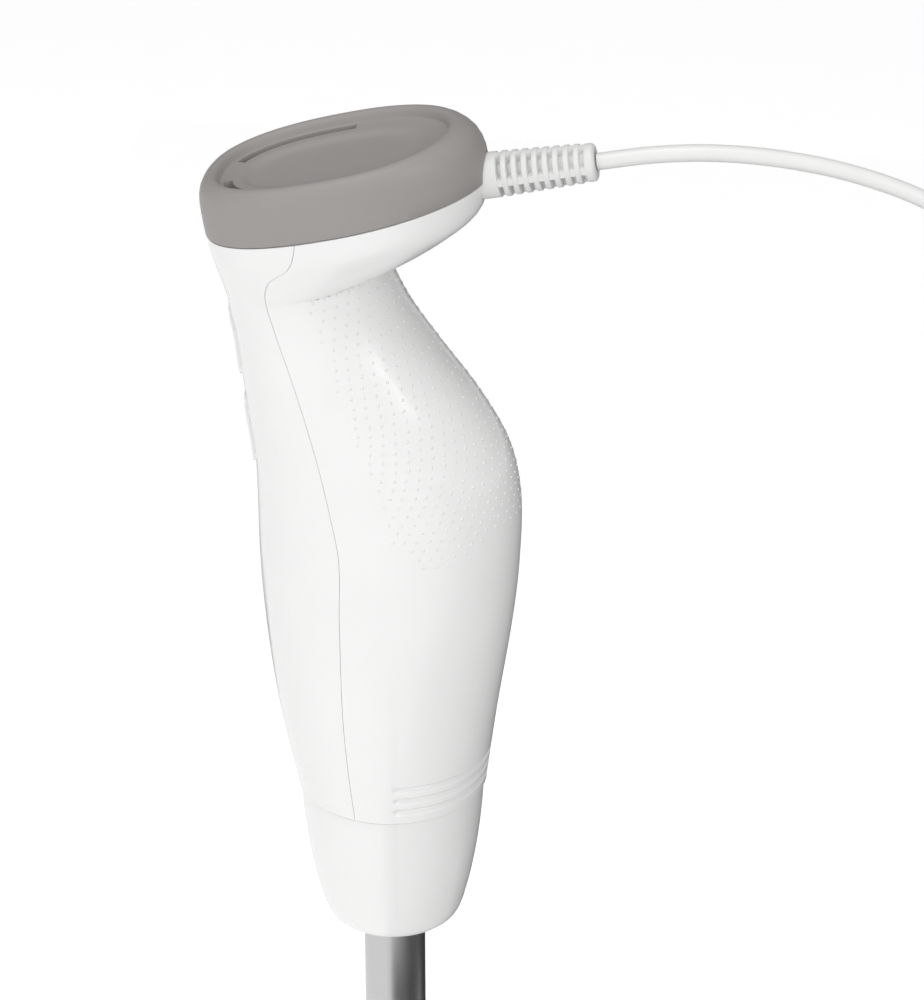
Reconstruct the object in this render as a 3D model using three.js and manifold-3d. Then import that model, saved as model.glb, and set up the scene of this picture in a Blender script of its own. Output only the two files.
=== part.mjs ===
// Corded hand blender: a moulded handle with its motor, and a steel foot that pulls off it.
// Millimetres, +Z up. The front, with the two buttons, faces -X and the cord leaves towards +X.
// The bell rim stands at Z = 0, and the origin is under the middle of the blender without its cord.
import * as THREE from "three";
import { mergeVertices } from "three/addons/utils/BufferGeometryUtils.js";
import Module from "manifold-3d";

const wasm = await Module();
wasm.setup();

// ---------------------------------------------------------------- driving dimensions

const gap = 0.3; // between pieces that touch
const running = 0.15; // radial clearance of whatever turns or slides in a bore
const seamGap = 0.5; // open parting line between the foot collar and the handle

const wall = 2.4; // moulded shells
const gripHeight = 178.4; // foot seam to the front end of the cap seam
const frontDepth = 39; // drive axis to the front of the grip at its fullest
const rearDepth = 39; // drive axis to the palm swell
const gripHalfWidth = 29;
const collarRadius = 28.1; // at the foot seam

const capHeight = 16.3; // cap seam to the crest of the rim
const capLip = 3; // lip that drops inside the shells

const footLength = 142.4; // bell rim to the underside of the collar
const collarHeight = 48.7;
const tubeRadius = 9.5;
const tubeWall = 1.2;
const bellRadius = 31;
const bellHeight = 38; // bell rim to the seat of the tube
const bellWall = 2.4;
const bladeRadius = 22;
const bladeHeight = 14; // rim to the middle of the blade

const shaftRadius = 3; // motor shaft and drive rod
const spigotRadius = 21.2; // handle spigot in the foot socket
const spigotLength = 15;
const socketDepth = 15.5;

const motorRadius = 22;
const motorHeight = 62;
const motorAboveBase = 21;

const buttonWidth = 15;
const buttonHeight = 22;
const buttonProud = 1;
const buttonTravel = 2;
const upperButtonAboveBase = 144.4;
const lowerButtonAboveBase = 116.4;

const cordDiameter = 4.8;
const bootRadius = 6.4;
const bootEndRadius = 5.3;
const bootLength = 31; // outside the shell
const bootRise = THREE.MathUtils.degToRad(10.9);
const coilTurnRadius = 27; // middle of the turns
const coilColumns = 2; // turns side by side
const coilLayers = 3;
const tieStrap = 1; // thickness of the strap round the coil

// ---------------------------------------------------------------- shared levels

const base = footLength + collarHeight + seamGap; // underside of the handle
const baseRadius = collarRadius + 0.8; // the handle stands a little proud of the collar
const socketFloor = footLength + collarHeight - socketDepth;
const motorBottom = base + motorAboveBase;
const motorTop = motorBottom + motorHeight;
const tubeTop = footLength + 23;
const bore = shaftRadius + running;

// ---------------------------------------------------------------- finishes

function finish(color, roughness, metalness) {
  return new THREE.MeshStandardMaterial({ color, roughness, metalness });
}
const whitePlastic = finish(0xf4f4f2, 0.3, 0);
const whiteFlex = finish(0xececea, 0.45, 0);
const greySoft = finish(0x9d9893, 0.6, 0);
const steel = finish(0xb9bbbd, 0.28, 1);
const darkSteel = finish(0x6d7073, 0.45, 1);
const blackPlastic = finish(0x2b2b2d, 0.55, 0);
const rubber = finish(0x3a3a3b, 0.8, 0);
const copper = finish(0xb06a3a, 0.4, 1);
const bronze = finish(0xa98650, 0.4, 1);
const board = finish(0x2f6b46, 0.6, 0);
const ferrite = finish(0x3f4042, 0.7, 0);

// ---------------------------------------------------------------- solids

const handle = new THREE.Group();
const foot = new THREE.Group();
const cord = new THREE.Group();

function place(parent, name, geometry, material) {
  const mesh = new THREE.Mesh(geometry, material);
  mesh.name = name;
  parent.add(mesh);
  return mesh;
}

function solid(geometry) {
  const bare = new THREE.BufferGeometry();
  bare.setAttribute("position", geometry.getAttribute("position"));
  if (geometry.index) bare.setIndex(geometry.index);
  const merged = mergeVertices(bare, 1e-4);
  return new wasm.Manifold(
    new wasm.Mesh({
      numProp: 3,
      vertProperties: new Float32Array(merged.attributes.position.array),
      triVerts: new Uint32Array(merged.index.array),
    }),
  );
}

function surface(made) {
  const mesh = made.getMesh();
  const geometry = new THREE.BufferGeometry();
  geometry.setAttribute("position", new THREE.BufferAttribute(mesh.vertProperties, 3));
  geometry.setIndex(new THREE.BufferAttribute(mesh.triVerts, 1));
  return geometry;
}

const cut = (piece, ...tools) => tools.reduce((left, tool) => left.subtract(tool), piece);
const join = (...pieces) => pieces.reduce((left, piece) => left.add(piece));

// A turned piece: [radius, height] points that close on themselves or on the axis.
function turned(points, segments = 20) {
  const profile = points.map(([r, z]) => new THREE.Vector2(r, z));
  if (THREE.ShapeUtils.isClockWise(profile)) profile.reverse();
  const closed = profile[0].x > 0 ? [...profile, profile[0].clone()] : profile;
  return new THREE.LatheGeometry(closed, segments).rotateX(Math.PI / 2);
}

// A plain ring or disc between two levels.
function ring(inner, outer, low, high, segments = 20) {
  if (inner === 0) return turned([[0, low], [outer, low], [outer, high], [0, high]], segments);
  return turned([[inner, low], [outer, low], [outer, high], [inner, high]], segments);
}

function block(x, y, z) {
  const geometry = new THREE.BoxGeometry(x[1] - x[0], y[1] - y[0], z[1] - z[0]);
  return geometry.translate((x[0] + x[1]) / 2, (y[0] + y[1]) / 2, (z[0] + z[1]) / 2);
}

// A flat outline in X and Z, given its thickness along Y about Y = 0.
function slabInXZ(shape, halfThickness) {
  const geometry = new THREE.ExtrudeGeometry(shape, { depth: 2 * halfThickness, bevelEnabled: false });
  return geometry.rotateX(Math.PI / 2).translate(0, halfThickness, 0);
}

// A flat outline in X and Y, given its thickness along Z.
function slabInXY(shape, low, high) {
  return new THREE.ExtrudeGeometry(shape, { depth: high - low, bevelEnabled: false, curveSegments: 10 })
    .translate(0, 0, low);
}

// A round bar along +X from one place to another.
function barAlongX(radius, from, to, y, z, segments = 20) {
  return new THREE.CylinderGeometry(radius, radius, to - from, segments)
    .rotateZ(Math.PI / 2)
    .translate((from + to) / 2, y, z);
}

// Rings of equal point count stacked into one closed body, with a point closing each end.
function stacked(rings) {
  const count = rings[0].length;
  const middle = (points) => points.reduce((sum, p) => sum.add(p), new THREE.Vector3()).divideScalar(count);
  const points = [middle(rings[0]), ...rings.flat(), middle(rings[rings.length - 1])];
  const faces = [];
  for (let i = 0; i < count; i++) {
    const next = (i + 1) % count;
    faces.push(0, 1 + next, 1 + i);
    for (let level = 0; level < rings.length - 1; level++) {
      const low = 1 + level * count;
      const high = low + count;
      faces.push(low + i, low + next, high + next, low + i, high + next, high + i);
    }
    const last = 1 + (rings.length - 1) * count;
    faces.push(last + i, last + next, points.length - 1);
  }
  return new THREE.BufferGeometry().setFromPoints(points).setIndex(faces);
}

// ---------------------------------------------------------------- the handle's form

// Stations up the handle: height over gripHeight and reach over frontDepth at the front, the same
// at the rear over rearDepth, half width over gripHalfWidth, and how square its front half is
// (2 is an ellipse, as the rear half always is).
const gripStations = [
  [0, -baseRadius / frontDepth, 0, baseRadius / rearDepth, baseRadius / gripHalfWidth, 2],
  [0.137, -0.862, 0.137, 0.818, 1.0, 2.05],
  [0.29, -0.945, 0.29, 0.918, 1.0, 2.15],
  [0.428, -0.982, 0.428, 0.98, 1, 2.2],
  [0.551, -0.985, 0.551, 0.985, 0.985, 2.2],
  [0.624, -0.994, 0.635, 0.905, 0.96, 2.2],
  [0.697, -1.036, 0.72, 0.69, 0.92, 2.2],
  [0.764, -1.07, 0.803, 0.41, 0.86, 2.2],
  [0.832, -1.105, 0.878, 0.175, 0.79, 2.2],
  [0.899, -1.165, 0.956, 0.0, 0.74, 2.25],
];
const bellyStations = [
  gripStations[gripStations.length - 1],
  [0.924, -1.195, 0.985, 0.262, 0.82, 2.3],
  [0.95, -1.232, 1.022, 0.515, 0.9, 2.35],
  [0.974, -1.262, 1.059, 0.69, 0.955, 2.4],
  [1.002, -1.288, 1.11, 0.742, 0.976, 2.4],
];
const pointsAround = 32;

// One smooth line through a run of stations for each of front, rear, and width with squareness.
function smoothStations(rows) {
  const through = (pick) => new THREE.CatmullRomCurve3(rows.map(pick), false, "centripetal");
  return {
    front: through(([fz, fx]) => new THREE.Vector3(fx * frontDepth, 0, base + fz * gripHeight)),
    rear: through(([, , rz, rx]) => new THREE.Vector3(rx * rearDepth, 0, base + rz * gripHeight)),
    width: through(
      ([fz, , , , half, square]) => new THREE.Vector3(half * gripHalfWidth, square, fz * gripHeight),
    ),
  };
}
const grip = smoothStations(gripStations);
const belly = smoothStations(bellyStations);

function sectionAt(form, t) {
  const width = form.width.getPoint(t);
  return { front: form.front.getPoint(t), rear: form.rear.getPoint(t), half: width.x, square: width.y };
}

// The closed ring of a section, grown outwards by an offset and moved by a vector.
function sectionRing({ front, rear, half, square }, grow = 0, move = new THREE.Vector3()) {
  const centre = front.clone().add(rear).multiplyScalar(0.5).add(move);
  const along = rear.clone().sub(front).normalize();
  const reach = rear.distanceTo(front) / 2 + grow;
  return Array.from({ length: pointsAround }, (_, i) => {
    const angle = (2 * Math.PI * i) / pointsAround;
    const c = Math.cos(angle);
    const s = Math.sin(angle);
    const power = c < 0 ? 2 / square : 1;
    const u = Math.sign(c) * Math.abs(c) ** power * reach;
    const v = Math.sign(s) * Math.abs(s) ** power * (half + grow);
    return centre.clone().addScaledVector(along, u).add(new THREE.Vector3(0, v, 0));
  });
}

const sections = [];
const gripSteps = 12;
const bellySteps = 4;
for (let i = 0; i <= gripSteps; i++) sections.push(sectionAt(grip, i / gripSteps));
for (let i = 1; i <= bellySteps; i++) sections.push(sectionAt(belly, i / bellySteps));
const baseSection = sections[0];
const seamSection = sections[sections.length - 1];
const capUp = new THREE.Vector3(-0.16, 0, 1).normalize(); // the cap's walls lean a little forwards

// The whole form grown by an offset; past its ends it runs on straight by the overrun.
function form(grow, overrun = 0) {
  const rings = sections.map((section) => sectionRing(section, grow));
  if (overrun > 0) {
    rings.unshift(sectionRing(baseSection, grow, new THREE.Vector3(0, 0, -overrun)));
    rings.push(sectionRing(seamSection, grow, capUp.clone().multiplyScalar(overrun)));
  }
  return solid(stacked(rings));
}

// Where the front of the grip is at a height.
function frontAt(z) {
  const t = [...Array(101).keys()].map((i) => i / 100).find((s) => grip.front.getPoint(s).z >= z);
  return grip.front.getPoint(t).x;
}

// ---------------------------------------------------------------- strain relief and its way out

const bootAxis = new THREE.Vector3(Math.cos(bootRise), 0, Math.sin(bootRise));
const bootRoot = seamSection.rear.clone().add(new THREE.Vector3(-1, 0, -0.2)); // on the axis, at the shell
const alongBoot = (distance) => bootRoot.clone().addScaledVector(bootAxis, distance);

// A turned piece laid along the strain relief, its heights counted from the shell.
function alongBootAxis(geometry) {
  const turn = new THREE.Quaternion().setFromUnitVectors(new THREE.Vector3(0, 0, 1), bootAxis);
  return geometry.applyQuaternion(turn).translate(...bootRoot.toArray());
}

const bootHole = solid(alongBootAxis(ring(0, bootRadius + gap, -14, 12)));
const bootFlange = { radius: bootRadius + 2, thickness: 1.6, setback: 7 };

function makeStrainRelief() {
  const bootBore = cordDiameter / 2 + gap;
  const back = -bootFlange.setback - bootFlange.thickness;
  const profile = [
    [bootBore, back],
    [bootFlange.radius, back],
    [bootFlange.radius, -bootFlange.setback],
    [bootRadius, -bootFlange.setback],
    [bootRadius, 5],
    [bootEndRadius, bootLength],
    [bootBore, bootLength],
  ];
  place(handle, "strain_relief", alongBootAxis(turned(profile, 20)), whiteFlex);
  const innerCord = alongBootAxis(ring(0, cordDiameter / 2, -26, bootLength - 1, 12));
  place(handle, "cord_inner_end", innerCord, whiteFlex);
}

// ---------------------------------------------------------------- shells

// The panel seam seen from the side, as reach over frontDepth and height over gripHeight.
const panelSeam = [
  [-0.155, -0.046],
  [-0.222, 0.087],
  [-0.258, 0.201],
  [-0.268, 0.388],
  [-0.265, 0.497],
  [-0.327, 0.576],
  [-0.435, 0.68],
  [-0.565, 0.776],
  [-0.725, 0.877],
  [-0.785, 0.928],
  [-0.745, 0.966],
  [-0.585, 1.0],
  [-0.535, 1.035],
  [-0.535, 1.197],
];
const seamSteps = 26;

// Everything in front of the panel seam, set back from it by an offset.
function frontOfSeam(setback) {
  const line = new THREE.SplineCurve(
    panelSeam.map(([x, z]) => new THREE.Vector2(x * frontDepth - setback, base + z * gripHeight)),
  ).getPoints(seamSteps);
  const outside = -2 * frontDepth;
  const corners = [new THREE.Vector2(outside, line[seamSteps].y), new THREE.Vector2(outside, line[0].y)];
  return solid(slabInXZ(new THREE.Shape([...line, ...corners]), 2 * gripHalfWidth));
}

// A button's outline in Y and Z, as a solid between two reaches along X.
function buttonPrism(middle, grow, from, to) {
  const radius = buttonWidth / 2 + grow;
  const straight = (buttonHeight - buttonWidth) / 2;
  const outline = new THREE.Shape();
  outline.absarc(0, straight, radius, 0, Math.PI, false);
  outline.absarc(0, -straight, radius, Math.PI, 2 * Math.PI, false);
  const depth = to - from;
  const geometry = new THREE.ExtrudeGeometry(outline, { depth, bevelEnabled: false, curveSegments: 6 });
  return solid(geometry.rotateX(Math.PI / 2).rotateZ(Math.PI / 2).translate(from, 0, middle));
}

const buttons = {
  speed: base + upperButtonAboveBase,
  turbo: base + lowerButtonAboveBase,
};

const mount = { inner: motorRadius + gap, outer: motorRadius + 3.4, height: 6 };
const mountLevels = [motorBottom + 3, motorTop - 12];
const screwCircle = baseRadius - 4.8;
const screwAngles = [Math.PI / 3, Math.PI, -Math.PI / 3];
const flange = { low: base + 1.8, high: base + 5.8 };
const boss = { radius: 3.2, low: flange.high + gap, high: motorBottom - 3 };
const screw = { shank: 1.2, head: 2 };
const clampPost = { x: seamSection.rear.x - 15, y: 8.5, radius: 2.8, top: bootRoot.z - 6.2 };

const screwPlaces = screwAngles.map((a) => [screwCircle * Math.cos(a), screwCircle * Math.sin(a)]);

function makeShells() {
  const outer = form(0);
  let shell = cut(outer, form(-wall, 6));
  const bearer = { radius: mount.outer + gap, half: 1 };
  for (const level of mountLevels) {
    const middle = level + mount.height / 2;
    const plate = ring(bearer.radius, 60, middle - bearer.half, middle + bearer.half, 28);
    shell = join(shell, solid(plate).intersect(outer));
  }
  for (const angle of screwAngles) {
    const web = block([0, 2 * gripHalfWidth], [-1, 1], [boss.low, boss.high]).translate(screwCircle, 0, 0);
    const post = ring(0, boss.radius, boss.low, boss.high, 16).translate(screwCircle, 0, 0);
    const pilot = ring(0, screw.shank + gap, boss.low - 1, boss.high - 2, 12).translate(screwCircle, 0, 0);
    const webbed = join(solid(web.rotateZ(angle)), solid(post.rotateZ(angle))).intersect(outer);
    shell = cut(join(shell, webbed), solid(pilot.rotateZ(angle)));
  }
  for (const side of [-1, 1]) {
    const low = bootRoot.z - 28;
    const post = ring(0, clampPost.radius, low, clampPost.top, 16);
    post.translate(clampPost.x, side * clampPost.y, 0);
    const pilot = ring(0, screw.shank + gap, clampPost.top - 8, clampPost.top + 1, 12);
    pilot.translate(clampPost.x, side * clampPost.y, 0);
    shell = cut(join(shell, solid(post).intersect(outer)), solid(pilot));
  }
  const seamHalfGap = gap / 2;
  let front = shell.intersect(frontOfSeam(seamHalfGap));
  for (const middle of Object.values(buttons)) {
    front = cut(front, buttonPrism(middle, gap, -2 * frontDepth, 0));
  }
  const rear = cut(shell, frontOfSeam(-seamHalfGap), bootHole);
  place(handle, "front_shell", surface(front), whitePlastic);
  place(handle, "rear_shell", surface(rear), whitePlastic);
}

// The cap's section as [grow, height over the seam] from under its middle, round the lip and the rim,
// to the middle of the dished top.
function makeCap() {
  const lipOuter = -wall - gap;
  const lipTaper = 0.9; // the shells draw in below the seam
  const lipInner = lipOuter - lipTaper - 1.4;
  const profile = [
    [-20, capHeight - 6.4],
    [lipInner - 2, capHeight - 6.2],
    [lipInner, capHeight - 7],
    [lipInner, -capLip],
    [lipOuter - lipTaper, -capLip],
    [lipOuter, gap],
    [0, gap],
    [0.3, capHeight - 7],
    [0.3, capHeight - 3],
    [-0.5, capHeight - 0.9],
    [-2.6, capHeight],
    [-4.4, capHeight - 0.8],
    [-5.4, capHeight - 2.2],
    [-12, capHeight - 3.1],
    [-20, capHeight - 4.2],
  ];
  const rings = profile.map(([grow, up]) => {
    return sectionRing(seamSection, grow, capUp.clone().multiplyScalar(up));
  });
  place(handle, "top_cap", surface(cut(solid(stacked(rings)), bootHole)), greySoft);
}

// ---------------------------------------------------------------- buttons and switches

const buttonFlange = { grow: 1.3, depth: 3.6 }; // its front follows the curved wall
const lowestFront = frontAt(buttons.turbo - buttonHeight / 2);
const stemEnd = lowestFront + wall + gap + buttonFlange.depth + 0.8;
const plunger = { radius: 1.4, from: stemEnd + gap, length: 4.6 };
const switchBody = { from: plunger.from + buttonTravel + 0.6, depth: 6.4, halfWidth: 6, halfHeight: 5 };
const boardFront = switchBody.from + switchBody.depth + gap;
const boardThickness = 1.6;

function makeButtons() {
  for (const [name, middle] of Object.entries(buttons)) {
    const nearest = frontAt(middle - buttonHeight / 2);
    const flangeBack = nearest + wall + gap + buttonFlange.depth;
    const face = buttonPrism(middle, 0, -2 * frontDepth, flangeBack).intersect(form(buttonProud));
    const wide = buttonPrism(middle, buttonFlange.grow, -2 * frontDepth, flangeBack);
    const rim = wide.intersect(form(-wall - gap));
    const stem = solid(barAlongX(2.4, flangeBack - 1, stemEnd, 0, middle));
    place(handle, name + "_button", surface(join(face, rim, stem)), whitePlastic);

    const pin = barAlongX(plunger.radius, plunger.from, plunger.from + plunger.length, 0, middle, 16);
    place(handle, name + "_switch_plunger", pin, blackPlastic);
    const body = solid(
      block(
        [switchBody.from, switchBody.from + switchBody.depth],
        [-switchBody.halfWidth, switchBody.halfWidth],
        [middle - switchBody.halfHeight, middle + switchBody.halfHeight],
      ),
    );
    const wellEnd = plunger.from + plunger.length + buttonTravel + gap;
    const well = solid(barAlongX(plunger.radius + gap, switchBody.from - 1, wellEnd, 0, middle, 16));
    place(handle, name + "_switch", surface(cut(body, well)), blackPlastic);
  }
}

function makeElectronics() {
  const back = boardFront + boardThickness + gap;
  const low = buttons.turbo - 11;
  const high = buttons.speed + 13;
  const thickness = [boardFront, boardFront + boardThickness];
  place(handle, "circuit_board", block(thickness, [-13, 13], [low, high]), board);
  const rectifier = block([back, back + 3.6], [-7.5, 7.5], [low + 3, low + 14]);
  place(handle, "bridge_rectifier", rectifier, blackPlastic);
  const canister = ring(0, 6.5, low + 18, low + 34, 20).translate(back + 6.5, 0, 0);
  place(handle, "filter_capacitor", canister, ferrite);
  const choke = turned([[3.4, -3.5], [8, -3.5], [8, 3.5], [3.4, 3.5]], 20).rotateY(Math.PI / 2);
  place(handle, "line_choke", choke.translate(back + 3.5, 0, high - 9.5), copper);
}

// ---------------------------------------------------------------- motor

const bearing = { outer: 6.5, height: 5 };
const coreLow = motorBottom + 12;
const coreHigh = motorTop - 14;
const coreRadius = motorRadius - 7.2;
const commutatorRadius = 6;
const endCapHeight = 8.6;
const fanBottom = base + 9;

function makeMotorCan() {
  const inside = motorRadius - 1.5;
  const seat = bearing.outer + gap;
  const can = [
    [seat, motorBottom],
    [motorRadius, motorBottom],
    [motorRadius, motorTop],
    [inside, motorTop],
    [inside, motorBottom + 1.5],
    [seat, motorBottom + 1.5],
  ];
  place(handle, "motor_can", turned(can, 32), darkSteel);

  const magnetOuter = inside - gap;
  const magnetInner = coreRadius + 0.6;
  const half = THREE.MathUtils.degToRad(68);
  for (const [name, middle] of [["front_magnet", Math.PI], ["rear_magnet", 0]]) {
    const arc = new THREE.Shape();
    arc.absarc(0, 0, magnetOuter, middle - half, middle + half, false);
    arc.absarc(0, 0, magnetInner, middle + half, middle - half, true);
    place(handle, name, slabInXY(arc, coreLow - 4, coreHigh + 4), ferrite);
  }

  const well = commutatorRadius + 2.5;
  const top = motorTop + gap + endCapHeight;
  const capPoints = [
    [well, motorTop + gap],
    [motorRadius - 0.3, motorTop + gap],
    [motorRadius - 0.3, top - 2],
    [bearing.outer + 4, top],
    [seat, top],
    [seat, top - 2.6],
    [well, top - 2.6],
  ];
  const brushMiddle = motorTop + gap + 3.2;
  const brush = { half: 2, tall: 1.8, from: commutatorRadius + gap, to: commutatorRadius + 10 };
  let cap = solid(turned(capPoints, 28));
  for (const [name, side] of [["front_brush", -1], ["rear_brush", 1]]) {
    const reach = [side * brush.from, side * brush.to].sort((a, b) => a - b);
    const slot = [reach[0] - gap, reach[1] + gap];
    const tall = [brushMiddle - brush.tall, brushMiddle + brush.tall];
    const across = [-brush.half - gap, brush.half + gap];
    cap = cut(cap, solid(block(slot, across, [tall[0] - gap, tall[1] + gap])));
    place(handle, name, block(reach, [-brush.half, brush.half], tall), rubber);
  }
  place(handle, "motor_end_cap", surface(cap), blackPlastic);
  for (const [name, low] of [["upper_bearing", top - 2.4], ["lower_bearing", motorBottom - 1]]) {
    place(handle, name, ring(bore, bearing.outer, low, low + bearing.height), bronze);
  }
  for (const [i, name] of ["lower_motor_mount", "upper_motor_mount"].entries()) {
    const low = mountLevels[i];
    place(handle, name, ring(mount.inner, mount.outer, low, low + mount.height, 28), rubber);
  }
}

function makeRotor() {
  const top = motorTop + endCapHeight + 5;
  const coupler = { low: socketFloor - 6.5, high: base - 9, radius: 5.6 };
  place(handle, "motor_shaft", ring(0, shaftRadius, coupler.low + 1, top, 20), steel);

  const slots = 10;
  const core = new THREE.Shape();
  for (let i = 0; i < slots; i++) {
    const middle = (2 * Math.PI * i) / slots;
    const half = Math.PI / slots;
    core.absarc(0, 0, coreRadius, middle - 0.78 * half, middle + 0.78 * half, false);
    core.absarc(0, 0, coreRadius - 4, middle + 0.88 * half, middle + 1.12 * half, false);
  }
  const depth = coreHigh - coreLow;
  const stack = new THREE.ExtrudeGeometry(core, { depth, bevelEnabled: false, curveSegments: 3 });
  const shaftHole = solid(ring(0, shaftRadius + gap, coreLow - 1, coreHigh + 1, 20));
  const bored = cut(solid(stack.translate(0, 0, coreLow)), shaftHole);
  place(handle, "armature_core", surface(bored), darkSteel);

  const turnsOuter = coreRadius - 1.5;
  for (const [name, from, to] of [
    ["upper_winding", coreHigh + gap, coreHigh + 6.5],
    ["lower_winding", coreLow - 6.5, coreLow - gap],
  ]) {
    const inner = shaftRadius + 2;
    const corner = 2;
    const profile = [
      [inner, from],
      [turnsOuter - corner, from],
      [turnsOuter, from + corner],
      [turnsOuter, to - corner],
      [turnsOuter - corner, to],
      [inner, to],
    ];
    place(handle, name, turned(profile, 20), copper);
  }
  const commutatorLow = coreHigh + 6.5 + gap;
  const commutator = ring(shaftRadius + gap, commutatorRadius, commutatorLow, motorTop + 6, 20);
  place(handle, "commutator", commutator, copper);

  const fan = { hub: 7, radius: 19, disc: 1.4, height: 7 };
  const discLow = fanBottom + fan.height - fan.disc;
  let wheel = join(
    solid(ring(0, fan.hub, fanBottom, fanBottom + fan.height, 20)),
    solid(ring(0, fan.radius, discLow, discLow + fan.disc, 32)),
  );
  const vanes = 9;
  for (let i = 0; i < vanes; i++) {
    const vane = block([fan.hub - 1, fan.radius], [-0.7, 0.7], [fanBottom, discLow + fan.disc / 2]);
    wheel = join(wheel, solid(vane.rotateZ((2 * Math.PI * i) / vanes)));
  }
  wheel = cut(wheel, solid(ring(0, shaftRadius + gap, fanBottom - 1, fanBottom + fan.height + 1, 20)));
  place(handle, "cooling_fan", surface(wheel), blackPlastic);

  const hex = solid(ring(0, coupler.radius, coupler.low, coupler.high, 6));
  const hexBore = solid(ring(0, shaftRadius + gap, coupler.low - 1, coupler.high + 1, 20));
  place(handle, "drive_coupler", surface(cut(hex, hexBore)), steel);
}

// ---------------------------------------------------------------- underside of the handle

function makeBasePlate() {
  const chamber = 9.5;
  const sealHeight = 4;
  const plateRadius = baseRadius - wall - 0.5;
  const profile = [
    [chamber, base - spigotLength],
    [spigotRadius - 1, base - spigotLength],
    [spigotRadius, base - spigotLength + 1],
    [spigotRadius, flange.low],
    [plateRadius, flange.low],
    [plateRadius, flange.high],
    [bore + 2, flange.high],
    [bore + 2, flange.high - 2],
    [chamber, flange.high - 2],
  ];
  let plate = solid(turned(profile, 28));
  const head = { low: base + 0.2, high: flange.low - gap };
  for (const [i, [x, y]] of screwPlaces.entries()) {
    const hole = ring(0, screw.shank + gap, flange.low - 1, flange.high + 1, 12).translate(x, y, 0);
    plate = cut(plate, solid(hole));
    const made = turned(
      [[0, head.low], [screw.head, head.low], [screw.head, head.high], [screw.shank, head.high],
        [screw.shank, boss.high - 3], [0, boss.high - 3]],
      14,
    );
    place(handle, `base_screw_${i + 1}`, made.translate(x, y, 0), steel);
  }
  place(handle, "motor_base", surface(plate), whitePlastic);
  const sealTop = flange.high - 2 - gap;
  place(handle, "output_seal", ring(bore, chamber - gap, sealTop - sealHeight, sealTop, 20), rubber);
}

function makeCordClamp() {
  const clampLow = clampPost.top + gap;
  const at = clampPost.x;
  const thick = 3.2;
  const saddle = solid(block([at - 3.5, at + 3.5], [-12.5, 12.5], [clampLow, clampLow + thick]));
  const groove = solid(alongBootAxis(ring(0, cordDiameter / 2 + gap, -40, 0, 16)));
  let bar = cut(saddle, groove);
  for (const [i, side] of [-1, 1].entries()) {
    const hole = ring(0, screw.shank + gap, clampLow - 1, clampLow + thick + 1, 12);
    bar = cut(bar, solid(hole.translate(at, side * clampPost.y, 0)));
    const top = clampLow + thick;
    const made = turned(
      [[0, clampPost.top - 7], [screw.shank, clampPost.top - 7], [screw.shank, top + gap],
        [screw.head, top + gap], [screw.head, top + 1.6], [0, top + 1.6]],
      14,
    );
    place(handle, `clamp_screw_${i + 1}`, made.translate(at, side * clampPost.y, 0), steel);
  }
  place(handle, "cord_clamp", surface(bar), blackPlastic);
}

// ---------------------------------------------------------------- foot

function makeFootBody() {
  const top = footLength + collarHeight;
  const around = tubeRadius + gap;
  const chamberRadius = 12;
  const bottomRound = new THREE.QuadraticBezierCurve(
    new THREE.Vector2(16.5, footLength),
    new THREE.Vector2(21, footLength),
    new THREE.Vector2(22.2, footLength + 6),
  ).getPoints(3);
  const side = new THREE.SplineCurve([
    new THREE.Vector2(22.2, footLength + 6),
    new THREE.Vector2(24.3, footLength + 15),
    new THREE.Vector2(26.4, footLength + 28),
    new THREE.Vector2(collarRadius, top),
  ]).getPoints(5);
  const profile = [
    [around, footLength],
    ...bottomRound.map((p) => [p.x, p.y]),
    ...side.slice(1).map((p) => [p.x, p.y]),
    [spigotRadius + gap, top],
    [spigotRadius + gap, socketFloor],
    [chamberRadius, socketFloor],
    [chamberRadius, tubeTop + gap],
    [around, tubeTop + gap],
  ];
  place(foot, "foot_collar", turned(profile, 32), whitePlastic);
  const tube = ring(tubeRadius - tubeWall, tubeRadius, bellHeight + gap, tubeTop, 32);
  place(foot, "shaft_tube", tube, steel);

  const neck = around + 2;
  const shoulder = new THREE.SplineCurve([
    new THREE.Vector2(bellRadius, 0),
    new THREE.Vector2(bellRadius - 0.4, 12),
    new THREE.Vector2(bellRadius - 5, 25),
    new THREE.Vector2(neck + 4, bellHeight - 2),
    new THREE.Vector2(neck, bellHeight + 6),
  ]).getPoints(8);
  const lining = new THREE.SplineCurve([
    new THREE.Vector2(neck + 2, bellHeight - 4),
    new THREE.Vector2(bellRadius - 8, 24),
    new THREE.Vector2(bellRadius - bellWall - 0.4, 12),
    new THREE.Vector2(bellRadius - bellWall, 0),
  ]).getPoints(6);
  const sealSeat = bore + 1.6 + gap;
  const bell = [
    ...shoulder.map((p) => [p.x, p.y]),
    [neck, bellHeight + 14],
    [around, bellHeight + 14],
    [around, bellHeight],
    [sealSeat, bellHeight],
    [sealSeat, bellHeight - 4],
    ...lining.map((p) => [p.x, p.y]),
  ];
  const notchRadius = 8;
  const notch = ring(0, notchRadius, -bellRadius - 5, bellRadius + 5, 20);
  const guard = cut(
    solid(turned(bell, 32)),
    solid(notch.clone().rotateX(Math.PI / 2).translate(0, 0, 1)),
    solid(notch.clone().rotateY(Math.PI / 2).translate(0, 0, 1)),
  );
  place(foot, "bell_guard", surface(guard), steel);
  place(foot, "blade_seal", ring(bore, sealSeat - gap, bellHeight - 5, bellHeight - gap, 20), rubber);

  const inTube = tubeRadius - tubeWall - gap;
  place(foot, "lower_bush", ring(bore, inTube, bellHeight + 0.8, bellHeight + 13, 20), bronze);
  const halfWay = (bellHeight + tubeTop) / 2;
  place(foot, "middle_guide", ring(bore, inTube, halfWay - 4, halfWay + 4), blackPlastic);
  place(foot, "upper_bush", ring(bore, inTube, tubeTop - 13, tubeTop - 1, 20), bronze);
}

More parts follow.
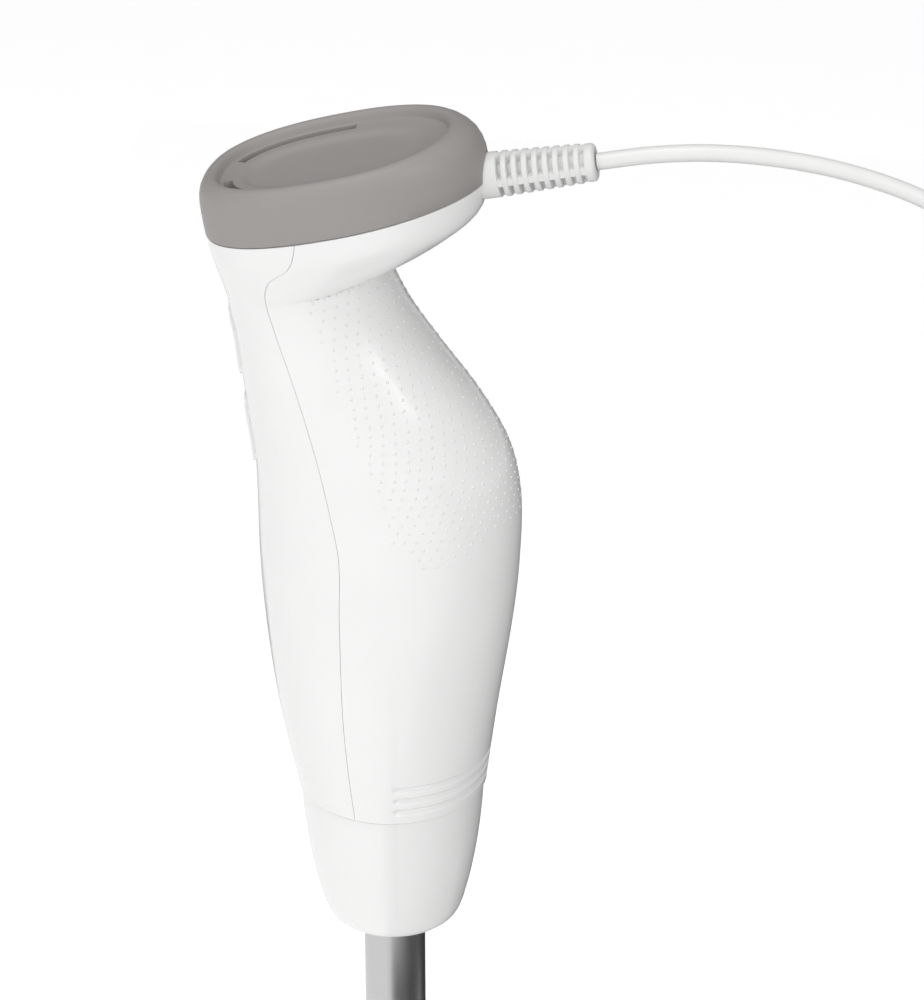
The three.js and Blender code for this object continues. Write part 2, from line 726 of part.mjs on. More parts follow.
function makeFootDrive() {
  const cup = { radius: 8.5, socket: 6.3, low: tubeTop + 1.2, floor: socketFloor - 7.2 };
  cup.top = socketFloor + 2;
  const rodTop = cup.floor - gap;
  const hubLow = bladeHeight - 4;
  place(foot, "drive_rod", ring(0, shaftRadius, hubLow - 1, rodTop, 20), steel);
  const cupBody = cut(
    solid(ring(0, cup.radius, cup.low, cup.top, 28)),
    solid(ring(0, shaftRadius + gap, cup.low - 1, cup.floor + 0.1, 20)),
    solid(ring(0, cup.socket, cup.floor, cup.top + 1, 6)),
  );
  place(foot, "foot_coupler", surface(cupBody), blackPlastic);

  const hub = ring(0, 5, hubLow + 1.5, bladeHeight + 5, 24);
  const wing = { root: 5.5, tip: 3.4, thick: 1.2 };
  let blade = solid(hub);
  for (const side of [-1, 1]) {
    const outline = new THREE.Shape([
      new THREE.Vector2(0, -wing.root),
      new THREE.Vector2(bladeRadius - 3, -wing.tip),
      new THREE.Vector2(bladeRadius, 0.4),
      new THREE.Vector2(bladeRadius - 4, wing.tip),
      new THREE.Vector2(0, wing.root - 1),
    ]);
    const geometry = slabInXY(outline, -wing.thick / 2, wing.thick / 2)
      .rotateX(THREE.MathUtils.degToRad(16))
      .rotateY(THREE.MathUtils.degToRad(side * 9))
      .rotateZ(side > 0 ? 0 : Math.PI)
      .translate(0, 0, bladeHeight);
    blade = join(blade, solid(geometry));
  }
  blade = cut(blade, solid(ring(0, shaftRadius + gap, 0, bladeHeight + 12, 20)));
  place(foot, "blade", surface(blade), steel);
  const nut = solid(ring(0, 5, hubLow - 0.6, hubLow + 1.2, 6));
  const thread = solid(ring(0, shaftRadius + gap, hubLow - 2, hubLow + 2, 20));
  place(foot, "blade_nut", surface(cut(nut, thread)), steel);
}

// ---------------------------------------------------------------- mains cord

// The free cord: out of the strain relief in a low arch, down to the floor, and into the coil.
const cordRadius = cordDiameter / 2;
const cordExit = alongBoot(bootLength + gap);
const arch = [
  [74, 398.2],
  [90, 399.6],
  [108, 399],
  [128, 395.8],
  [148, 389.2],
  [165, 379],
  [178, 364],
  [185.5, 344],
  [188, 320],
  [188, 260],
  [188, 200],
  [188, 140],
  [188, 90],
  [187, 55],
  [183.5, 33],
  [175, 15],
  [161, 5.2],
  [146, cordRadius + 0.3],
];
const coilCentre = new THREE.Vector2(100, coilTurnRadius + cordRadius); // the cord meets its outer turn
const coilHalf = (coilColumns * cordDiameter) / 2 + 0.4;
const coil = { inner: coilTurnRadius - coilHalf, outer: coilTurnRadius + coilHalf, low: tieStrap + 0.4 };
coil.high = coil.low + coilLayers * cordDiameter + 0.4;
const coilMouth = coilCentre.x + Math.sqrt(coil.outer ** 2 - coilTurnRadius ** 2) + gap;

function tubeThrough(points, radius, steps, sides = 8) {
  const outline = new THREE.Shape();
  for (let i = 0; i < sides; i++) {
    const angle = (2 * Math.PI * i) / sides;
    const corner = [radius * Math.cos(angle), radius * Math.sin(angle)];
    if (i === 0) outline.moveTo(...corner);
    else outline.lineTo(...corner);
  }
  outline.closePath();
  const path = new THREE.CatmullRomCurve3(points, false, "centripetal");
  return new THREE.ExtrudeGeometry(outline, { steps, extrudePath: path, bevelEnabled: false });
}

// The plug: flat two-pin body lying on the floor, and its cord running back to the coil.
const plug = {
  y: coilCentre.y + coilTurnRadius + cordRadius,
  axis: 7,
  halfWidth: 17,
  reliefFrom: coilCentre.x + 35.5,
  bodyFrom: coilCentre.x + 46,
  bodyTo: coilCentre.x + 81,
  pinTo: coilCentre.x + 96,
  pinSpacing: 18.6,
};

function makeCord() {
  const points = [cordExit, ...arch.map(([x, z]) => new THREE.Vector3(x, 0, z))];
  points.push(new THREE.Vector3(coilMouth, 0, cordRadius + 0.6));
  place(cord, "power_cord", tubeThrough(points, cordRadius, 56), whiteFlex);

  const hank = ring(coil.inner, coil.outer, coil.low, coil.high, 36);
  hank.translate(coilCentre.x, coilCentre.y, 0);
  place(cord, "cord_coil", hank, whiteFlex);

  // The tie is a flat strap that goes right round the turns at the coil's far side.
  const tieX = coilCentre.x - coilTurnRadius;
  const inside = coilHalf + gap;
  const strap = solid(
    block(
      [tieX - inside - tieStrap, tieX + inside + tieStrap],
      [coilCentre.y - 2.5, coilCentre.y + 2.5],
      [coil.low - gap - tieStrap, coil.high + gap + tieStrap],
    ),
  );
  const loop = solid(
    block(
      [tieX - inside, tieX + inside],
      [coilCentre.y - 4, coilCentre.y + 4],
      [coil.low - gap, coil.high + gap],
    ),
  );
  const tie = cut(strap, loop);
  place(cord, "cord_tie", surface(tie), blackPlastic);
}

function makePlug() {
  const outline = new THREE.Shape([
    new THREE.Vector2(plug.bodyFrom, plug.y - plug.halfWidth / 2),
    new THREE.Vector2(plug.bodyTo - 20, plug.y - plug.halfWidth + 1),
    new THREE.Vector2(plug.bodyTo, plug.y - plug.halfWidth),
    new THREE.Vector2(plug.bodyTo, plug.y + plug.halfWidth),
    new THREE.Vector2(plug.bodyTo - 20, plug.y + plug.halfWidth - 1),
    new THREE.Vector2(plug.bodyFrom, plug.y + plug.halfWidth / 2),
  ]);
  const body = slabInXY(outline, 0.2, 2 * plug.axis - 0.2);
  place(cord, "plug_body", body, whiteFlex);
  const tail = barAlongX(cordRadius, coilMouth, plug.reliefFrom - gap, plug.y, plug.axis, 12);
  place(cord, "cord_tail", tail, whiteFlex);
  const reliefLength = plug.bodyFrom - gap - plug.reliefFrom;
  const relief = new THREE.CylinderGeometry(3.2, 4.6, reliefLength, 16)
    .rotateZ(Math.PI / 2)
    .translate(plug.reliefFrom + reliefLength / 2, plug.y, plug.axis);
  place(cord, "plug_relief", relief, whiteFlex);
  for (const [i, side] of [-1, 1].entries()) {
    const y = plug.y + (side * plug.pinSpacing) / 2;
    place(cord, `plug_pin_${i + 1}`, barAlongX(2, plug.bodyTo + gap, plug.pinTo, y, plug.axis, 16), steel);
  }
}

makeShells();
makeCap();
makeStrainRelief();
makeButtons();
makeElectronics();
makeMotorCan();
makeRotor();
makeBasePlate();
makeCordClamp();
makeFootBody();
makeFootDrive();
makeCord();
makePlug();

// The origin goes under the middle of the blender itself.
const blender = new THREE.Group();
blender.add(handle, foot, cord);
const box = new THREE.Box3().setFromObject(foot);
box.union(new THREE.Box3().setFromObject(handle.children.find((mesh) => mesh.name === "top_cap")));
box.union(new THREE.Box3().setFromObject(handle.children.find((mesh) => mesh.name === "rear_shell")));
const middle = box.getCenter(new THREE.Vector3());
blender.position.set(-middle.x, -middle.y, 0);

export default blender;
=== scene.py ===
import math

import bpy
from mathutils import Matrix, Vector


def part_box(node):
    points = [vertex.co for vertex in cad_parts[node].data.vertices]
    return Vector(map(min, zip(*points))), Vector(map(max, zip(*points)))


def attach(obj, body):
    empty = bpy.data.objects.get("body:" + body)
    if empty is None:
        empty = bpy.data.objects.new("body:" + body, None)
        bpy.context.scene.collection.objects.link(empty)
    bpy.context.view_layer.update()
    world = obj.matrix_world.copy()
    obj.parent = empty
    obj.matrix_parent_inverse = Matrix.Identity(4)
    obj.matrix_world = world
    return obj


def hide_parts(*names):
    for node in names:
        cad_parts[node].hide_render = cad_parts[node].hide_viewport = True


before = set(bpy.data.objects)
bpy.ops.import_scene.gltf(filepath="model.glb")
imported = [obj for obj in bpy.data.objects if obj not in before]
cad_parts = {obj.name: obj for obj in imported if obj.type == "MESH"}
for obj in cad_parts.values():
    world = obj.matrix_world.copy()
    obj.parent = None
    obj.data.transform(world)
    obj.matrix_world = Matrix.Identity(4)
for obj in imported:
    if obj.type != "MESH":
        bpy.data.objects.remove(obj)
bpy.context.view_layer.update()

# Camera. It looks down on the head of the blender from the front left, through a long lens, so
# the foot leaves the picture at the bottom and the cord at the right. Every piece below is made
# in millimetres about the drive axis, and settle() puts it in the frame, in metres.
MM = 0.001
tube_low, tube_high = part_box("shaft_tube")
drive_x = (tube_low[0] + tube_high[0]) / 2 / MM

camera_data = bpy.data.cameras.new("camera")
camera_data.lens = 115.2
camera_data.clip_end = 20
camera = bpy.data.objects.new("camera", camera_data)
camera.location = ((drive_x + 135) * MM, -0.8091, 0.731)
camera.rotation_euler = (math.radians(61.5), 0, math.radians(8))
bpy.context.collection.objects.link(camera)
bpy.context.scene.camera = camera


# Mains cord, white round two-core PVC flex, 4.8 mm. It leaves the strain relief in a low arch,
# falls to the floor, and the rest is wound in a small coil of three and a half turns and tied.
cord_radius = 2.4
cord_low, cord_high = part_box("cord_coil")
coil_x = (cord_low[0] + cord_high[0]) / 2 / MM - drive_x
coil_y = (cord_low[1] + cord_high[1]) / 2 / MM
coil_floor = cord_low[2] / MM
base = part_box("rear_shell")[0][2] / MM

boot_rise = math.radians(10.9)
boot_axis = Vector((math.cos(boot_rise), 0, math.sin(boot_rise)))
boot_length = 31
grip_height = 178.4
seam_rear = Vector((0.742 * 39, 0, base + 1.11 * grip_height))
boot_root = seam_rear + Vector((-1, 0, -0.2))
cord_exit = boot_root + boot_axis * (boot_length + 0.3)
arch = [(74, 398.2), (90, 399.6), (108, 399), (128, 395.8), (148, 389.2), (165, 379), (178, 364),
        (185.5, 344),
        (188, 320), (188, 260), (188, 200), (188, 140), (188, 90), (187, 55), (183.5, 33), (175, 15),
        (161, 5.2), (146, 2.7), (124, 3.0)]

track = {"outer": 29.45, "inner": 24.55}
layer = [coil_floor + cord_radius + 0.05 + 4.9 * i for i in range(3)]


def ease(value, start, end):
    w = min(1, max(0, (value - start) / (end - start)))
    return w * w * (3 - 2 * w)


def turn_point(degrees):
    inward = ease(degrees, 250, 340) - ease(degrees, 800, 885)
    radius = track["outer"] + (track["inner"] - track["outer"]) * inward
    first_climb = (layer[1] - layer[0]) * ease(degrees, 530, 600)
    second_climb = (layer[2] - layer[1]) * ease(degrees, 1105, 1158)
    height = layer[0] + first_climb + second_climb
    angle = math.radians(-90 - degrees)
    return Vector((coil_x + radius * math.cos(angle), coil_y + radius * math.sin(angle), height))


route = [cord_exit] + [Vector((x, 0, z)) for x, z in arch]
route += [turn_point(15 * i) for i in range(85)]
plug_low, plug_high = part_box("plug_body")
plug_y = (plug_low[1] + plug_high[1]) / 2 / MM
plug_axis = (plug_low[2] + plug_high[2]) / 2 / MM
relief_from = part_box("plug_relief")[0][0] / MM - drive_x
route += [Vector((relief_from - 8, plug_y, plug_axis + 1.2)),
          Vector((relief_from + 2, plug_y, plug_axis))]


# A point on a smooth line through chosen points, which it passes without overshooting.
def along(points, t):
    place = t * (len(points) - 1)
    i = min(int(place), len(points) - 2)
    b, c = points[i], points[i + 1]
    a = points[i - 1] if i > 0 else 2 * b - c
    d = points[i + 2] if i + 2 < len(points) else 2 * c - b
    ab, bc, cd = math.sqrt((b - a).length), math.sqrt((c - b).length), math.sqrt((d - c).length)
    leave = ((b - a) / ab - (c - a) / (ab + bc) + (c - b) / bc) * bc
    arrive = ((c - b) / bc - (d - b) / (bc + cd) + (d - c) / cd) * bc
    w = place - i
    curve = 2 * b - 2 * c + leave + arrive
    bend = 3 * c - 3 * b - 2 * leave - arrive
    return b + leave * w + bend * w * w + curve * w ** 3


def smooth_line(points, count):
    points = [Vector(p) for p in points]
    return [along(points, i / count) for i in range(count + 1)]


# A finish of Object coordinates: a slow mottle in colour and roughness, as handling leaves it, and a
# fine grain in the bump.
def finish(name, color, roughness, metallic=0.0, mottle=0.03, grain=900.0, depth=0.04,
           stretch=(1, 1, 1), spread=0.05):
    material = bpy.data.materials.new(name)
    material.use_nodes = True
    nodes = material.node_tree.nodes
    links = material.node_tree.links
    shader = nodes["Principled BSDF"]
    shader.inputs["Metallic"].default_value = metallic
    place = nodes.new("ShaderNodeTexCoord")
    mapping = nodes.new("ShaderNodeMapping")
    mapping.inputs["Scale"].default_value = stretch
    links.new(place.outputs["Object"], mapping.inputs["Vector"])

    cloud = nodes.new("ShaderNodeTexNoise")
    cloud.inputs["Scale"].default_value = 45
    cloud.inputs["Detail"].default_value = 4
    links.new(place.outputs["Object"], cloud.inputs["Vector"])
    tint = nodes.new("ShaderNodeValToRGB")
    tint.color_ramp.elements[0].position = 0.3
    tint.color_ramp.elements[1].position = 0.7
    tint.color_ramp.elements[0].color = [c * (1 - mottle) for c in color] + [1]
    tint.color_ramp.elements[1].color = [min(1, c * (1 + mottle)) for c in color] + [1]
    links.new(cloud.outputs["Fac"], tint.inputs["Fac"])
    links.new(tint.outputs["Color"], shader.inputs["Base Color"])

    fine = nodes.new("ShaderNodeTexNoise")
    fine.inputs["Scale"].default_value = grain
    fine.inputs["Detail"].default_value = 3
    links.new(mapping.outputs["Vector"], fine.inputs["Vector"])
    rough = nodes.new("ShaderNodeMapRange")
    rough.inputs["To Min"].default_value = max(0.02, roughness - spread)
    rough.inputs["To Max"].default_value = roughness + spread
    links.new(cloud.outputs["Fac"], rough.inputs["Value"])
    links.new(rough.outputs["Result"], shader.inputs["Roughness"])
    bump = nodes.new("ShaderNodeBump")
    bump.inputs["Strength"].default_value = depth
    bump.inputs["Distance"].default_value = 0.0002
    links.new(fine.outputs["Fac"], bump.inputs["Height"])
    links.new(bump.outputs["Normal"], shader.inputs["Normal"])
    return material


curve = bpy.data.curves.new("mains_cord", "CURVE")
curve.dimensions = "3D"
line = smooth_line(route, 620)
spline = curve.splines.new("POLY")
spline.points.add(len(line) - 1)
for point, place in zip(spline.points, line):
    point.co = ((place.x + drive_x) * MM, place.y * MM, place.z * MM, 1)
curve.bevel_depth = cord_radius * MM
curve.bevel_resolution = 4
curve.use_fill_caps = True
cord = bpy.data.objects.new("mains_cord", curve)
bpy.context.collection.objects.link(cord)
cord_white = finish("cord_white_pvc", (0.8, 0.8, 0.79), 0.34, mottle=0.02, grain=420, depth=0.06)
curve.materials.append(cord_white)
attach(cord, "handle")
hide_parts("power_cord", "cord_coil", "cord_tail")


# Stage. A plain pale floor and soft studio light: a bright sky from the front left, dimmer at the
# right and behind, with one large soft box on the left and a small one over the head.


def deselect():
    if bpy.context.object and bpy.context.object.mode != "OBJECT":
        bpy.ops.object.mode_set(mode="OBJECT")
    bpy.ops.object.select_all(action="DESELECT")


deselect()
bpy.ops.mesh.primitive_plane_add(size=8)
floor = bpy.context.object
floor.name = "floor"
floor_paper = finish("floor_paper", (0.93, 0.93, 0.93), 0.9, mottle=0.004, depth=0.0)
floor_paper.node_tree.nodes["Principled BSDF"].inputs["Emission Color"].default_value = (1, 1, 1, 1)
floor_paper.node_tree.nodes["Principled BSDF"].inputs["Emission Strength"].default_value = 0.34
floor.data.materials.append(floor_paper)

world = bpy.data.worlds.new("studio")
bpy.context.scene.world = world
world.use_nodes = True
sky_nodes = world.node_tree.nodes
sky_links = world.node_tree.links
direction = sky_nodes.new("ShaderNodeTexCoord")
towards = sky_nodes.new("ShaderNodeVectorMath")
towards.operation = "DOT_PRODUCT"
towards.inputs[1].default_value = Vector((-0.22, -0.6, 0.77)).normalized()
sky_links.new(direction.outputs["Generated"], towards.inputs[0])
sky = sky_nodes.new("ShaderNodeValToRGB")
sky.color_ramp.elements[0].position = 0.36
sky.color_ramp.elements[0].color = (0.22, 0.22, 0.22, 1)
sky.color_ramp.elements[1].position = 0.85
sky.color_ramp.elements[1].color = (1, 1, 1, 1)
span = sky_nodes.new("ShaderNodeMapRange")
span.inputs["From Min"].default_value = -1
sky_links.new(towards.outputs["Value"], span.inputs["Value"])
sky_links.new(span.outputs["Result"], sky.inputs["Fac"])
sky_links.new(sky.outputs["Color"], sky_nodes["Background"].inputs["Color"])
sky_nodes["Background"].inputs["Strength"].default_value = 0.75


def soft_box(name, place, size, power):
    data = bpy.data.lights.new(name, "AREA")
    data.size = size
    data.energy = power
    lamp = bpy.data.objects.new(name, data)
    lamp.location = place
    lamp.rotation_euler = (Vector((0, 0, 0.3)) - Vector(place)).to_track_quat("-Z", "Y").to_euler()
    bpy.context.collection.objects.link(lamp)


soft_box("left_soft_box", (-0.9, -1.5, 1.0), 1.0, 1.5)
soft_box("top_soft_box", (-0.3, -0.4, 1.9), 0.7, 6)
soft_box("right_soft_box", (0.8, -0.9, 0.9), 0.5, 3.6)

# A black cloth lies on the floor to the right, out of the camera's sight, and fades in from the
# left: it takes the floor's light off the right of the grip and draws the steel tube's dark side.
deselect()
bpy.ops.mesh.primitive_plane_add(size=1)
cloth = bpy.context.object
cloth.name = "black_cloth"
cloth.data.transform(Matrix.Translation((0.3, 0.2, 0.0006)) @ Matrix.Diagonal((2.2, 3.0, 1, 1)))
cloth_black = bpy.data.materials.new("cloth_black")
cloth_black.use_nodes = True
cloth_nodes = cloth_black.node_tree.nodes
cloth_links = cloth_black.node_tree.links
cloth_nodes["Principled BSDF"].inputs["Base Color"].default_value = (0.12, 0.12, 0.12, 1)
cloth_place = cloth_nodes.new("ShaderNodeTexCoord")
cloth_run = cloth_nodes.new("ShaderNodeVectorMath")
cloth_run.operation = "DOT_PRODUCT"
cloth_run.inputs[1].default_value = (1, 0.5, 0)
cloth_links.new(cloth_place.outputs["Object"], cloth_run.inputs[0])
cloth_fade = cloth_nodes.new("ShaderNodeMapRange")
cloth_fade.inputs["From Min"].default_value = -0.02
cloth_fade.inputs["From Max"].default_value = 0.4
cloth_links.new(cloth_run.outputs["Value"], cloth_fade.inputs["Value"])
cloth_side = cloth_nodes.new("ShaderNodeNewGeometry")
cloth_top = cloth_nodes.new("ShaderNodeMath")
cloth_top.operation = "SUBTRACT"
cloth_top.use_clamp = True
cloth_links.new(cloth_fade.outputs["Result"], cloth_top.inputs[0])
cloth_links.new(cloth_side.outputs["Backfacing"], cloth_top.inputs[1])
cloth_links.new(cloth_top.outputs["Value"], cloth_nodes["Principled BSDF"].inputs["Alpha"])
cloth.data.materials.append(cloth_black)
small_cloth = cloth.copy()
small_cloth.data = cloth.data.copy()
small_cloth.name = "small_black_cloth"
small_cloth.data.transform(Matrix.Diagonal((0.23, 0.23, 1, 1)))
small_cloth.data.transform(Matrix.Translation((0.18, -0.03, 0.0004)))
bpy.context.collection.objects.link(small_cloth)
small_black = bpy.data.materials.new("small_cloth_black")
small_black.use_nodes = True
small_black.node_tree.nodes["Principled BSDF"].inputs["Base Color"].default_value = (0.03, 0.03, 0.03, 1)
small_cloth.data.materials[0] = small_black
small_cloth.visible_diffuse = False
rear_cloth = small_cloth.copy()
rear_cloth.data = small_cloth.data.copy()
rear_cloth.name = "rear_black_cloth"
rear_cloth.data.transform(Matrix.Translation((-0.3, 0.62, 0.0002)))
bpy.context.collection.objects.link(rear_cloth)
for cover in (cloth, small_cloth, rear_cloth):
    cover.visible_camera = False
    cover.visible_shadow = False
bpy.context.scene.view_settings.view_transform = "Standard"


# Handle shells, gloss white ABS 2.4 mm thick, moulded in two halves. Their form comes from stations
# up the grip: height and reach of the front, the same for the rear, half width, and how square the
# front half is. The rear bulges to the palm, draws in to the neck and juts out under the cap.
front_depth = rear_depth = 39
half_width = 29
base_radius = 28.9
grip = [
    (0, -base_radius / front_depth, 0, base_radius / rear_depth, base_radius / half_width, 2),
    (0.137, -0.862, 0.137, 0.818, 1.0, 2.05), (0.29, -0.945, 0.29, 0.918, 1.0, 2.15),
    (0.428, -0.982, 0.428, 0.98, 1, 2.2), (0.551, -0.985, 0.551, 0.985, 0.985, 2.2),
    (0.624, -0.994, 0.635, 0.905, 0.96, 2.2), (0.697, -1.036, 0.72, 0.69, 0.92, 2.2),
    (0.764, -1.07, 0.803, 0.41, 0.86, 2.2), (0.832, -1.105, 0.878, 0.175, 0.79, 2.2),
    (0.899, -1.165, 0.956, 0.0, 0.74, 2.25),
]
belly = [
    grip[-1], (0.924, -1.195, 0.985, 0.262, 0.82, 2.3), (0.95, -1.232, 1.022, 0.515, 0.9, 2.35),
    (0.974, -1.262, 1.059, 0.69, 0.955, 2.4), (1.002, -1.288, 1.11, 0.742, 0.976, 2.4),
]


def stations(rows):
    front = [Vector((x * front_depth, 0, base + z * grip_height)) for z, x, _, _, _, _ in rows]
    rear = [Vector((x * rear_depth, 0, base + z * grip_height)) for _, _, z, x, _, _ in rows]
    width = [Vector((half * half_width, square, z * grip_height)) for z, _, _, _, half, square in rows]
    return front, rear, width


grip_lines = stations(grip)
belly_lines = stations(belly)


def section(lines, t):
    front, rear, width = (along(points, t) for points in lines)
    return front, rear, width.x, width.y


around = 192


def ring_point(shape, turn, grow=0.0, lift=Vector()):
    front, rear, half, square = shape
    c, s = math.cos(turn), math.sin(turn)
    power = 2 / square if c < 0 else 1
    reach = (rear - front).length / 2 + grow
    u = math.copysign(abs(c) ** power, c) * reach
    v = math.copysign(abs(s) ** power, s) * (half + grow)
    return (front + rear) / 2 + lift + (rear - front).normalized() * u + Vector((0, v, 0))


def loft(name, rings, close=False):
    count = len(rings[0])
    points = [p for ring in rings for p in ring]
    faces = []
    for level in range(len(rings) - 1):
        for i in range(count):
            j = (i + 1) % count
            faces.append((level * count + i, level * count + j, (level + 1) * count + j,
                          (level + 1) * count + i))
    if close:
        faces.append(tuple(reversed(range(count))))
        faces.append(tuple(range(len(points) - count, len(points))))
    mesh = bpy.data.meshes.new(name)
    mesh.from_pydata(points, [], faces)
    piece = bpy.data.objects.new(name, mesh)
    bpy.context.collection.objects.link(piece)
    return piece


# Three finger grooves go round the rear of the grip just above the foot seam. Behind a soft
# upright edge the rear half is a hair lower than the front half.
groove_levels = [base + 3.8, base + 7.7, base + 11.6]
groove_half = 1.25
groove_depth = 1.1
edge_x = 5.0


def level_at(height):
    low, high = 0.0, 1.0
    for _ in range(30):
        middle = (low + high) / 2
        low, high = (middle, high) if along(grip_lines[1], middle).z < height else (low, middle)
    return low


def groove(point):
    depth = 0.0
    for level in groove_levels:
        away = abs(point.z - level) / groove_half
        if away < 1:
            depth = groove_depth * (1 - away * away) ** 1.5
    return depth * ease(point.x, edge_x - 0.2, edge_x + 1.3)


def set_down(point):
    return 0.22 * ease(point.x, edge_x - 0.8, edge_x + 0.5) * (1 - ease(point.z, base + 40, base + 66))


levels = {i / 60 for i in range(61)}
for middle in groove_levels:
    levels |= {level_at(middle + groove_half * step / 4) for step in range(-5, 6)}
shapes = [section(grip_lines, t) for t in sorted(levels)]
shapes += [section(belly_lines, i / 18) for i in range(1, 19)]
seam_shape = shapes[-1]
turns = [2 * math.pi * i / around for i in range(around)]


def handle_rings(grow):
    rings = []
    for shape in shapes:
        ring = []
        for turn in turns:
            surface = ring_point(shape, turn)
            ring.append(ring_point(shape, turn, grow - groove(surface) - set_down(surface)))
        rings.append(ring)
    return rings


# The front shell, which holds the buttons, meets the rear one along a seam that sweeps forwards
# under the head. The strain relief passes through the rear one.
wall = 2.4
shell_white = finish("shell_white_abs", (0.86, 0.86, 0.855), 0.24, mottle=0.008, grain=1500,
                     depth=0.012, spread=0.03)
shell_white.node_tree.nodes["Principled BSDF"].inputs["Coat Weight"].default_value = 0.15


def pick(piece):
    deselect()
    piece.select_set(True)
    bpy.context.view_layer.objects.active = piece


def apply(piece, kind, **settings):
    modifier = piece.modifiers.new(kind.lower(), kind)
    for key, value in settings.items():
        setattr(modifier, key, value)
    pick(piece)
    bpy.ops.object.modifier_apply(modifier=modifier.name)


def cut(piece, tool, how="DIFFERENCE"):
    apply(piece, "BOOLEAN", operation=how, object=tool, solver="EXACT")


def discard(*tools):
    for tool in tools:
        bpy.data.objects.remove(tool)


def smooth(piece, angle=35):
    pick(piece)
    bpy.ops.object.shade_smooth_by_angle(angle=math.radians(angle))


# It puts a finished piece in the frame, in metres, and on its body.
def settle(piece, material, body, slot, *stands_for):
    piece.data.transform(Matrix.Scale(MM, 4) @ Matrix.Translation((drive_x, 0, 0)))
    piece.data.materials.clear()
    piece.data.materials.append(material)
    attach(piece, body)
    if stands_for:
        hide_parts(*stands_for)
    return piece


shell = loft("rear_shell", handle_rings(0))
apply(shell, "SOLIDIFY", thickness=wall, offset=-1, use_even_offset=True)

seam_half = 0.06
panel_seam = [(-0.155, -0.046), (-0.222, 0.087), (-0.258, 0.201), (-0.268, 0.388), (-0.265, 0.497),
              (-0.327, 0.576), (-0.435, 0.68), (-0.565, 0.776), (-0.725, 0.877), (-0.785, 0.928),
              (-0.745, 0.966), (-0.585, 1.0),
              (-0.535, 1.035), (-0.535, 1.197)]


def prism(name, outline, depth, axis):
    deselect()
    bpy.ops.mesh.primitive_circle_add(vertices=len(outline), radius=1)
    piece = bpy.context.object
    piece.name = name
    for vertex, place in zip(piece.data.vertices, outline):
        vertex.co = place
    bpy.ops.object.mode_set(mode="EDIT")
    bpy.ops.mesh.select_all(action="SELECT")
    bpy.ops.mesh.edge_face_add()
    bpy.ops.mesh.extrude_region_move(TRANSFORM_OT_translate={"value": Vector(axis) * depth})
    bpy.ops.mesh.select_all(action="SELECT")
    bpy.ops.mesh.normals_make_consistent(inside=False)
    bpy.ops.object.mode_set(mode="OBJECT")
    return piece


def front_block(setback):
    line = smooth_line([(x * front_depth - setback, -2 * half_width, base + z * grip_height) for x,
                        z in panel_seam], 90)
    corners = [Vector((-3 * front_depth, -2 * half_width, line[-1].z)),
               Vector((-3 * front_depth, -2 * half_width, line[0].z))]
    return prism("front_block", line + corners, 4 * half_width, (0, 1, 0))


# Two buttons in the front of the grip, gloss white: the upper sets the blender going, the lower
# gives full speed. Each is a rounded block that follows the grip, rides 1 mm proud of it and runs
# back to the middle of the handle.
button_width = 15
button_height = 22
button_proud = 1
button_gap = 0.3
upper_low, upper_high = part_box("speed_button")
lower_low, lower_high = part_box("turbo_button")
button_middles = {"speed_button": (upper_low[2] + upper_high[2]) / 2 / MM,
                  "turbo_button": (lower_low[2] + lower_high[2]) / 2 / MM}


def button_block(middle, grow, reach=3 * 39):
    radius = button_width / 2 + grow
    straight = (button_height - button_width) / 2
    outline = []
    for i in range(48):
        turn = 2 * math.pi * (i + 0.5) / 48
        lift = straight if math.sin(turn) > 0 else -straight
        outline.append(Vector((-reach, radius * math.cos(turn), middle + lift + radius * math.sin(turn))))
    return prism("button_block", outline, reach, (1, 0, 0))


front_shell = shell.copy()
front_shell.data = shell.data.copy()
front_shell.name = "front_shell_skin"
shell.name = "rear_shell_skin"
bpy.context.collection.objects.link(front_shell)
keep = front_block(seam_half)
cut(front_shell, keep, "INTERSECT")
for middle in button_middles.values():
    hole = button_block(middle, button_gap)
    cut(front_shell, hole)
    discard(hole)
away = front_block(-seam_half)
cut(shell, away)
boot_hole_radius = 6.7
deselect()
bpy.ops.mesh.primitive_cylinder_add(vertices=64, radius=boot_hole_radius, depth=40)
boot_hole = bpy.context.object
boot_turn = Vector((0, 0, 1)).rotation_difference(boot_axis).to_matrix().to_4x4()
boot_hole.data.transform(Matrix.Translation(boot_root) @ boot_turn)
cut(shell, boot_hole)
discard(keep, away)
smooth(shell, 32)
smooth(front_shell, 32)


def soften(piece, width, angle=35, segments=2):
    apply(piece, "BEVEL", width=width, segments=segments, limit_method="ANGLE",
          angle_limit=math.radians(angle), use_clamp_overlap=True)
    smooth(piece, angle)


for name, middle in button_middles.items():
    button = loft(name + "_face", handle_rings(button_proud), close=True)
    block = button_block(middle, 0)
    cut(button, block, "INTERSECT")
    discard(block)
    soften(button, 0.7, 50, 4)
    settle(button, shell_white, name, "white_plastic", name)
settle(shell, shell_white, "handle", "white_plastic", "rear_shell")
settle(front_shell, shell_white, "handle", "white_plastic", "front_shell")


# Grip dots. The palm swell carries a field of small raised dots on each side, moulded into the rear
# shell, in staggered rows that run round from one side to the other and thin out at the front.
dot_radius = 0.46
dot_height = 0.24
dot_pitch = 3.55
field = [(-24, 380), (-18, 352), (-11, 333), (-5, 318), (-2, 309), (3, 298), (4, 288), (8, 284),
         (11, 279), (22, 278),
         (33, 286), (60, 288), (60, 380)]


def in_field(x, z):
    inside = False
    for (x1, z1), (x2, z2) in zip(field, field[1:] + field[:1]):
        if (z1 > z) != (z2 > z) and x < (x2 - x1) * (z - z1) / (z2 - z1) + x1:
            inside = not inside
    return inside


